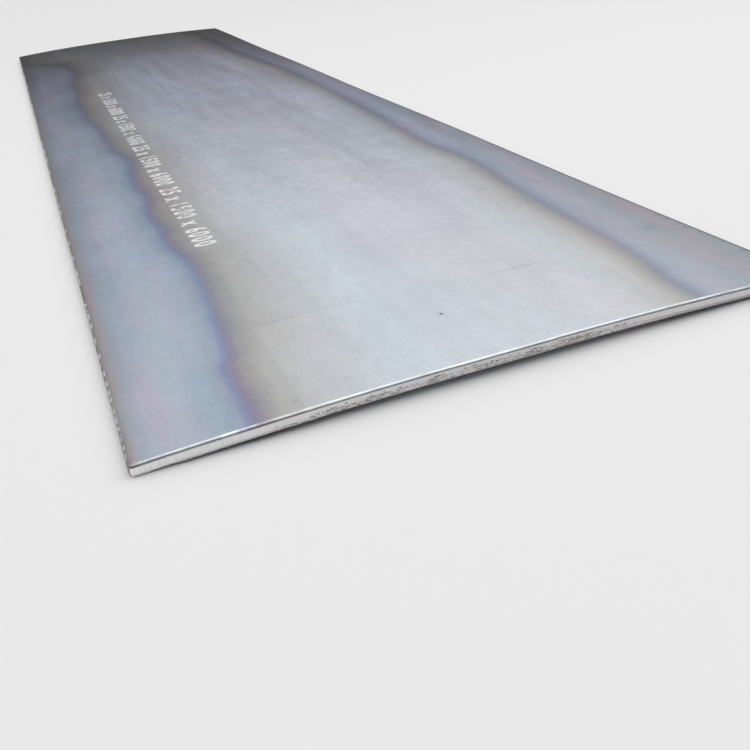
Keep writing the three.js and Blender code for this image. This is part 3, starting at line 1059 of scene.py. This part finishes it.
# (metres from the left side, colour as shares)
LEFT_RIM = (
    (0.0, (0.60, 0.50, 0.42)), (0.006, (0.70, 0.60, 0.50)), (0.012, (0.93, 0.75, 0.66)),
    (0.021, (1.02, 0.86, 0.79)), (0.032, (0.98, 0.93, 0.89)), (0.055, (1.0, 1.0, 1.0)),
)
RIGHT_RIM_FADES = (0.0057, 0.019)  # metres from the right side
RIGHT_RIM_TINT = (0.80, 0.695, 0.69)
ARRIS_FADES = (0.005, 0.012)  # the right one has a thin brown line on its very edge, in places
ARRIS_TINT = (0.36, 0.29, 0.27)
ARRIS_PLACES = (((1, 4, 1), 3, 0.6, (6, 7, 0)), 0.32, 0.52, 0.35, 1.0)


def rimmed(finish, tint, across, from_right):
    """The tint, seen through the colours of the two rims."""
    left_rim = [(at / LEFT_RIM_REACH, colour) for at, colour in LEFT_RIM]
    tint = finish.tinted(tint, finish.ramp(finish.over(across, LEFT_RIM_REACH), left_rim))
    rim = finish.fading(from_right, *RIGHT_RIM_FADES)
    tint = finish.tinted(tint, finish.mix(rim, 1.0, RIGHT_RIM_TINT))
    arris = finish.fading(from_right, *ARRIS_FADES)
    arris = finish.times(arris, finish.patches(*ARRIS_PLACES))
    return finish.tinted(tint, finish.mix(arris, 1.0, ARRIS_TINT))


print("the left rim is", round(LEFT_RIM_REACH / MM), "mm wide")

# %% Numbers of the mill scale
# The skin grows thicker, bluer and at last brown towards the far end, and the far part is also
# darkened as painted shade for its dimmer glancing reflection: (share of the length, colour)
THICKER_SCALE_AND_FAR_SHADE = (
    (0.0, (1.0, 1.0, 1.0)), (0.10, (1.0, 1.0, 1.01)), (0.17, (1.02, 1.03, 1.07)),
    (0.27, (1.01, 1.005, 1.065)), (0.32, (0.955, 0.96, 1.035)), (0.37, (0.93, 0.945, 1.04)),
    (0.43, (0.875, 0.895, 0.99)), (0.50, (0.825, 0.845, 0.965)), (0.65, (0.72, 0.73, 0.865)),
    (0.75, (0.74, 0.75, 0.895)), (0.80, (0.735, 0.73, 0.885)), (0.85, (0.59, 0.565, 0.68)),
    (0.90, (0.445, 0.435, 0.50)), (0.95, (0.33, 0.32, 0.36)), (1.0, (0.20, 0.19, 0.20)),
)
SLOW_WAVES = ((5, 2.2, 1), 3)
QUICK_WAVES = ((30, 22, 1), 3, 0.6, (3, 1, 0))
SLOW_WOBBLE = 0.022  # metres that the tint's lines wander by, in long waves
QUICK_WOBBLE = 0.020  # and in short ones
SCALE_AND_FAR_SHADE_WOBBLE = 0.03  # the same for the thicker scale and the painted far-end shade, as a share of the length
TINT_PATCHES = (((13, 2.4, 1), 3, 0.5, (2.6, 4.4, 0)), 0.38, 0.62)
TEAL = (0.935, 1.01, 1.02)
MAUVE = (1.05, 0.975, 1.01)
ROSY_CLOUDS = ((7, 1.2, 1), 2, 0.5, (9, 4, 0))
SCALE_ROUGHNESS = (((16, 1.4, 1), 4, 0.6, (2, 2, 0)), 0.3, 0.7, 0.22, 0.265)
SMOOTHER = (3.6, 5.4, 1.0, 0.6)  # metres from the near end, and shares of the roughness there
METALLIC = 0.75
# where the rubbed rollover is bare steel, painted bright: partly rubbed steel, partly a painted sheen
BARE_AND_SHEEN_PLACES = (((60, 90, 60), 3), 0.3, 0.6, 0.5, 1.0)
BARE_STEEL_AND_SHEEN = 0.86
SKIN_GRAIN = ((900, 500, 400), 3, 0.6)
SKIN_RELIEF = 0.0002  # metres
SKIN_STRENGTH = 0.12
print("stops of the thickening:", len(THICKER_SCALE_AND_FAR_SHADE))

# %% Mill scale
def mill_scale_body(finish):
    """(colour, roughness, normal) of plain mill scale with its tint and marks."""
    axes = finish.axes()
    across = finish.add(axes[0], HALF_X * MM)
    from_right = finish.less(WIDTH * MM, across)
    along = finish.add(axes[1], HALF_Y * MM)

    slow = finish.less(finish.noise(*SLOW_WAVES), 0.5)
    quick = finish.less(finish.noise(*QUICK_WAVES), 0.5)
    wobble = finish.add(finish.times(slow, SLOW_WOBBLE), finish.times(quick, QUICK_WOBBLE))
    left, left_share = heat_tint(finish, across, along, wobble, *LEFT)
    right, right_share = heat_tint(finish, from_right, along, wobble, *RIGHT)
    tint = finish.tinted(left, right)
    patched = finish.tinted(tint, finish.mix(finish.patches(*TINT_PATCHES), TEAL, MAUVE))
    tint = finish.mix(finish.math("MAXIMUM", left_share, right_share), tint, patched)
    tint = rimmed(finish, tint, across, from_right)

    along_share = finish.over(along, LENGTH * MM)
    scale_and_far_shade_at = finish.add(along_share, finish.times(slow, SCALE_AND_FAR_SHADE_WOBBLE))
    # thicker, browner scale towards the far end, with painted shade darkening the far part as well
    thick = finish.ramp(scale_and_far_shade_at, THICKER_SCALE_AND_FAR_SHADE)
    rosy_stops = [(at / (WIDTH * MM), share) for at, share in ROSINESS]
    rosy = finish.curve(finish.over(across, WIDTH * MM), rosy_stops)
    rosy = finish.add(finish.less(rosy, 0.5), finish.noise(*ROSY_CLOUDS))
    plain = finish.mix(finish.between(rosy, *PLAIN_DRIFT), PLAIN_BLUER, PLAIN_ROSIER)
    colour = finish.tinted(finish.tinted(plain, thick), tint)
    colour = finish.shaded(colour, skin_light(finish, across, along))

    rough = finish.times(finish.patches(*SCALE_ROUGHNESS), finish.between(along, *SMOOTHER))
    skin = finish.bump(finish.noise(*SKIN_GRAIN), SKIN_RELIEF, SKIN_STRENGTH)
    return colour, rough, skin


def mill_scale():
    finish = Finish("mill_scale")
    colour, rough, normal = mill_scale_body(finish)
    # the rubbed rollover turns bright bare steel, partly a painted highlight on its shoulder
    bare_and_sheen = finish.times(finish.stored("rubbed"), finish.patches(*BARE_AND_SHEEN_PLACES))
    return finish.coat(finish.mix(bare_and_sheen, colour, BARE_STEEL_AND_SHEEN), rough, METALLIC, normal)


finishes = [mill_scale()]
print(finishes[-1].name, "has", len(finishes[-1].node_tree.nodes), "nodes")

# %% [markdown]
# ## The sheared end's finish
#
# The mesh already holds the bands and the pits, so the finish only has to tell fresh steel from
# torn.  It reads the numbers kept on the points: bright and smooth where the blade wiped the end,
# a little greyer and rougher where it tore, and darker the deeper a pit is, as painted shade in the
# pits.  Just past the step between the two strokes the tear is stained brown.

# %% Sheared end
# How bright the wiped band is along the end: (distance from the left side in mm, share)
WIPED_LIGHT = (
    (0, 1.05), (130, 1.0), (230, 0.97), (320, 0.92), (500, 0.86), (700, 0.80), (900, 0.82),
    (1100, 0.83), (1500, 0.83),
)
DRAG_LINES = ((300, 60, 25), 3, 0.6)  # what the blade left on it
WIPED_DULL = (0.70, 0.69, 0.695)
WIPED_BRIGHT = (1.0, 0.985, 0.99)
TORN_PATCHES = (((9, 4, 40), 3), 0.35, 0.65)
TORN_ROSY = (0.85, 0.80, 0.81)
TORN_SALLOW = (0.82, 0.81, 0.79)
GREYER = (1.02, 1.16, 1.0, 0.76)  # metres from the left side, and the tear's brightness there
STAIN_STARTS = (0.848, 0.856)  # metres from the left side
STAIN_FADES = (0.915, 0.985)
STAIN = (0.80, 0.755, 0.69)
STAIN_BLOTCHES = (((130, 60, 190), 3, 0.65, (6, 6, 6)), 0.40, 0.60, 0.25, 1.0)
CRUMBS = ((420, 420, 420), 3, 0.7, (4, 4, 4))
CRUMB_LIGHTS = (0.76, 1.14)
CRUMB_RELIEF = 0.0004  # metres
CRUMB_STRENGTH = 0.45
PIT_SHADE = (0.05, 0.55, 0.0, 0.78)  # a pit's depth in mm, and how much painted shade it shows
# the colour of that painted shade at the bottom of a pit
PIT_SHADE_COLOUR = (0.15, 0.145, 0.14)
END_ROUGHNESS = (0.3, 0.55)  # where it is wiped, and where it is torn


def sheared_end():
    finish = Finish("sheared_end")
    torn = finish.stored("torn")
    across = finish.add(finish.axes()[0], HALF_X * MM)

    wiped = finish.mix(finish.noise(*DRAG_LINES), WIPED_DULL, WIPED_BRIGHT)
    light_stops = [(at / WIDTH, light) for at, light in WIPED_LIGHT]
    wiped = finish.shaded(wiped, finish.curve(finish.over(across, WIDTH * MM), light_stops))
    ripped = finish.mix(finish.patches(*TORN_PATCHES), TORN_ROSY, TORN_SALLOW)
    crumbs = finish.noise(*CRUMBS)
    ripped = finish.tinted(ripped, finish.mix(crumbs, *CRUMB_LIGHTS))
    ripped = finish.shaded(ripped, finish.between(across, *GREYER))
    colour = finish.mix(torn, wiped, ripped)

    stain = finish.between(across, *STAIN_STARTS)
    stain = finish.times(stain, finish.fading(across, *STAIN_FADES))
    stain = finish.times(stain, finish.patches(*STAIN_BLOTCHES))
    colour = finish.mix(stain, colour, finish.tinted(colour, STAIN))
    # painted shade in the pits, darker the deeper they are
    colour = finish.mix(finish.between(finish.stored("pit"), *PIT_SHADE), colour, PIT_SHADE_COLOUR)
    rough = finish.between(torn, 0, 1, *END_ROUGHNESS)
    relief = finish.bump(crumbs, CRUMB_RELIEF, CRUMB_STRENGTH)
    return finish.coat(colour, rough, METALLIC, relief)


finishes.append(sheared_end())
print(finishes[-1].name, "has", len(finishes[-1].node_tree.nodes), "nodes")

# %% [markdown]
# ## The mill edge's finish
#
# The long sides keep a rough, dark skin that comes off in flakes.  One noise makes the flakes, and
# the same noise decides which of them are gone where a side was knocked.  So the bright spots have
# the shape of flakes, and aren't soft stains.  They are painted near white: partly bare steel and
# partly a painted glint.  A second noise, drawn out along the plate, gives the long darker and
# lighter streaks.

# %% Mill edge
FLAKES = ((60, 60, 220), 4, 0.6)
RUNS = (((40, 3, 260), 3, 0.6, (3, 3, 3)), 0.35, 0.65)  # long dark and light streaks
KNOCK_LUMPS = ((60, 130, 60), 2, 0.5, (7, 7, 7))
EDGE_DARK = (0.19, 0.185, 0.19)
EDGE_LIGHT = (0.34, 0.335, 0.34)
FLAKE_DARK = (0.75, 0.74, 0.73)
FLAKE_LIGHT = (1.25, 1.24, 1.23)
FLAKE_RELIEF = 0.00036  # in metres
KNOCK_RELIEF = 0.0035
KNOCKED_FLAKES = (0.38, 0.50)  # a flake above the second is knocked off wherever it was rubbed
# bare steel where a flake is knocked off, painted near white: partly steel, partly a painted glint
KNOCKED_STEEL_AND_GLINT = 0.98
EDGE_ROUGHNESS = (0.5, 0.28)  # of the skin, and of bare steel
EDGE_METALLIC = 0.7


def mill_edge():
    finish = Finish("mill_edge")
    flakes = finish.noise(*FLAKES)
    colour = finish.mix(finish.patches(*RUNS), EDGE_DARK, EDGE_LIGHT)
    colour = finish.tinted(colour, finish.mix(flakes, FLAKE_DARK, FLAKE_LIGHT))
    bare_and_sheen = finish.times(finish.stored("rubbed"), finish.between(flakes, *KNOCKED_FLAKES))
    knocks = finish.times(bare_and_sheen, finish.noise(*KNOCK_LUMPS))
    height = finish.add(finish.times(flakes, FLAKE_RELIEF), finish.times(knocks, KNOCK_RELIEF))
    rough = finish.between(bare_and_sheen, 0, 1, *EDGE_ROUGHNESS)
    # knocked-off flakes painted near white, partly a painted glint
    colour = finish.mix(bare_and_sheen, colour, KNOCKED_STEEL_AND_GLINT)
    return finish.coat(colour, rough, EDGE_METALLIC, finish.bump(height, 1.0))


finishes.append(mill_edge())
print(finishes[-1].name, "has", len(finishes[-1].node_tree.nodes), "nodes")

# %% Put the finishes on the plate, and the plate on its body
for finish in finishes:
    plate_mesh.materials.append(finish)
plate_mesh.polygons.foreach_set("material_index", finish_of_face.astype(np.int32))
plate_mesh.update()

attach(plate, "root")
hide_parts("steel_plate")
print("finishes on the plate:", [finish.name for finish in plate_mesh.materials])

# %% [markdown]
# ## The size marking
#
# A stock yard marks its plates in white paint, so that nobody has to measure them again.  The
# marking here gives the plate's own three sizes in millimetres, four times over along the left of
# the plate.  It was sprayed through a stencil, so its figures are narrow, and the stencil was
# walked along by eye, so the line slants a little.  Feet and slings have worn it thin.
#
# It could be a picture laid on the plate, but letters are shapes, and Blender can make them: a text
# object is turned into a thin mesh that stands a tenth of a millimetre out of the plate's skin.
# The worn places aren't holes in it.  They show the same mill scale as the plate, worked out from
# the same place, so paint and steel meet without a seam.

# %% Sizes of the marking
MARKING_TEXT = f"{THICKNESS} x {WIDTH} x {LENGTH}"
MARKING_HEIGHT = 88  # the text size that makes figures about 62 mm high
MARKING_SPACING = 1.34
MARKING_BOLDER = 0.0024  # metres that each stroke is widened by
MARKING_NARROWED = 0.76
MARKING_LIFT = 0.10  # how far the paint stands over the steel
MARKING_STARTS = (3720, 3025, 2330, 1635)  # distances from the near end where each text starts
MARKING_BASE = 335  # distance of the figures' feet from the left side
MARKING_BASE_AT = 2134  # at this distance from the near end
MARKING_SLANT = 0.0083  # and how much it grows for each millimetre further along
print("the marking reads", MARKING_TEXT)

# %% Shape of the marking
def marking_mesh():
    text = bpy.data.curves.new("marking_text", "FONT")
    text.body = MARKING_TEXT
    text.size = MARKING_HEIGHT * MM
    text.space_character = MARKING_SPACING
    text.offset = MARKING_BOLDER
    text.extrude = MARKING_LIFT * MM
    text.resolution_u = 3
    holder = add_object("marking_text", text)
    bpy.context.view_layer.update()
    solid = holder.evaluated_get(bpy.context.evaluated_depsgraph_get())
    mesh = bpy.data.meshes.new_from_object(solid)
    bpy.data.objects.remove(holder)
    return mesh


def lay_markings():
    """One mesh with the text at each start.  The figures' feet are towards the left side."""
    one = marking_mesh()
    turn = Euler((0, 0, -math.pi / 2 - MARKING_SLANT)).to_matrix().to_4x4()
    verts = []
    faces = []
    for start in MARKING_STARTS:
        base = MARKING_BASE + MARKING_SLANT * (start - MARKING_BASE_AT)
        shift = Vector(((base - HALF_X) * MM, (start - HALF_Y) * MM, THICKNESS * MM))
        placing = Matrix.Translation(shift) @ turn @ Matrix.Diagonal((MARKING_NARROWED, 1, 1, 1))
        first = len(verts)
        for vertex in one.vertices:
            x, y, z = placing @ vertex.co
            verts.append((x, y, z + float(lift(x / MM, y / MM)) * MM))
        faces += [[first + i for i in p.vertices] for p in one.polygons]
    mesh = bpy.data.meshes.new("size_marking")
    mesh.from_pydata(verts, [], faces)
    mesh.validate()
    return mesh


marking = add_object("size_marking", lay_markings())
print("its size, in mm:", [round(1000 * v, 1) for v in marking.dimensions])

# %% Worn paint
PAINT = (0.80, 0.80, 0.81)
PAINT_ROUGHNESS = 0.6
WORN_SPOTS = ((70, 55, 1), 4, 0.65, (8, 3, 0))
THIN_STRETCHES = ((9, 2.0, 1), 2, 0.5, (2, 8, 0))
THIN_SHARE = 0.5
WEARS_OFF = (0.56, 0.69)  # where the two noises lie between these, the paint thins out
FADED = (-1.6, 0.2, 0.94, 0.74)  # along, in metres from the middle, and the paint's cover there


def worn_paint():
    finish = Finish("worn_white_paint")
    colour, rough, normal = mill_scale_body(finish)
    thin = finish.times(finish.noise(*THIN_STRETCHES), THIN_SHARE)
    cover = finish.between(finish.add(finish.noise(*WORN_SPOTS), thin), *WEARS_OFF)
    cover = finish.times(cover, finish.between(finish.axes()[1], *FADED))
    colour = finish.mix(cover, colour, PAINT)
    rough = finish.mix(cover, rough, PAINT_ROUGHNESS)
    return finish.coat(colour, rough, finish.between(cover, 0, 1, METALLIC, 0.0), normal)


marking.data.materials.append(worn_paint())
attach(marking, "root")
print("faces of the marking:", len(marking.data.polygons))

# %% [markdown]
# ## The studio
#
# Steel shows its surroundings more than its colour.  A plate under an even white dome looks like
# plastic.  Here the light comes softly from above and the horizon is darker, as in a hall with a
# roof light.  So the near part of the plate, seen from above, shows the bright ceiling, and the far
# part, seen at a glancing angle, the darker horizon.  Low down behind the camera the hall is
# darkest, so that the rounded shoulder of the near end draws one bright line and one dark one.  A
# wide soft lamp overhead adds a little light of its own.

# %% Floor
FLOOR_HALF = 60.0
FLOOR_GREY = 0.82
FLOOR_ROUGHNESS = 0.9
FLOOR_GLOSS = 0.1
floor_corners = [(FLOOR_HALF * x, FLOOR_HALF * y, 0) for x, y in ((-1, -1), (1, -1), (1, 1), (-1, 1))]
floor_mesh = bpy.data.meshes.new("floor")
floor_mesh.from_pydata(floor_corners, [], [(0, 1, 2, 3)])
floor = add_object("floor", floor_mesh)
floor_finish = Finish("pale_floor")
floor_mesh.materials.append(floor_finish.coat(FLOOR_GREY, FLOOR_ROUGHNESS))
floor_finish.shader.inputs["Specular IOR Level"].default_value = FLOOR_GLOSS
print("floor:", 2 * FLOOR_HALF, "m square")

# %% The hall's light
# (height of a direction, 0 level and 1 straight up; brightness there)
SKY = (
    (0.0, 0.085), (0.10, 0.085), (0.17, 0.145), (0.26, 0.60), (0.35, 1.0), (0.55, 1.06),
    (1.0, 1.30),
)
DARK_BACK = 0.92  # how much of the light is missing low down behind the camera
BEHIND = (-0.30, -0.60)  # the directions, towards -Y, between which that side begins
LOW_DOWN = (0.80, 0.58)  # and the heights of a direction

world = bpy.data.worlds.new("soft_hall")
bpy.context.scene.world = world
world.use_nodes = True
hall = Wiring(world.node_tree)
direction = hall.node("SeparateXYZ", {0: hall.node("TexCoord").outputs["Generated"]}).outputs
brightness = hall.ramp(direction[2], [(height, (level,) * 3) for height, level in SKY], "LINEAR")
dark_side = hall.times(hall.between(direction[1], *BEHIND), hall.between(direction[2], *LOW_DOWN))
dimmed = hall.shaded(brightness, hall.less(1.0, hall.times(dark_side, DARK_BACK)))
hall.plug(hall.tree.nodes["Background"].inputs["Color"], dimmed)
print("brightness from", min(level for _, level in SKY), "to", max(level for _, level in SKY))

# %% The lamp
softbox_data = bpy.data.lights.new("softbox", "AREA")
softbox_data.shape = "RECTANGLE"
softbox_data.size = 8.0
softbox_data.size_y = 2.0
softbox_data.energy = 29
softbox = add_object("softbox", softbox_data)
softbox.location = (2.9, -1.3, 5.0)
print("softbox", softbox_data.size, "x", softbox_data.size_y, "m, hung", softbox.location.z, "m up")

# %% [markdown]
# ## The camera
#
# The camera stands in front of the near left corner at hip height, and looks down along the plate.
# It is slightly rolled.

# %% Camera
CAMERA_PLACE = Vector((-0.739, -4.334, 0.849))
CAMERA_YAW = math.radians(18.89)  # turned from straight along the plate towards +X
CAMERA_PITCH = math.radians(-28.88)
CAMERA_ROLL = math.radians(6.03)
FOCAL_PIXELS = 871.0
PICTURE_SIDE = 750.0
SENSOR = 36.0

forward = Vector((
    math.sin(CAMERA_YAW) * math.cos(CAMERA_PITCH),
    math.cos(CAMERA_YAW) * math.cos(CAMERA_PITCH),
    math.sin(CAMERA_PITCH),
))
level_right = forward.cross(Vector((0, 0, 1))).normalized()
right = Matrix.Rotation(CAMERA_ROLL, 3, forward) @ level_right
turned = Matrix((right, right.cross(forward), -forward)).transposed().to_4x4()
camera_data = bpy.data.cameras.new("camera")
camera_data.sensor_width = SENSOR
camera_data.lens = SENSOR * FOCAL_PIXELS / PICTURE_SIDE
camera_data.clip_end = 500
camera = add_object("camera", camera_data)
camera.matrix_world = Matrix.Translation(CAMERA_PLACE) @ turned
bpy.context.scene.camera = camera
bpy.context.scene.view_settings.view_transform = "Standard"
print("lens:", round(camera_data.lens, 1), "mm")
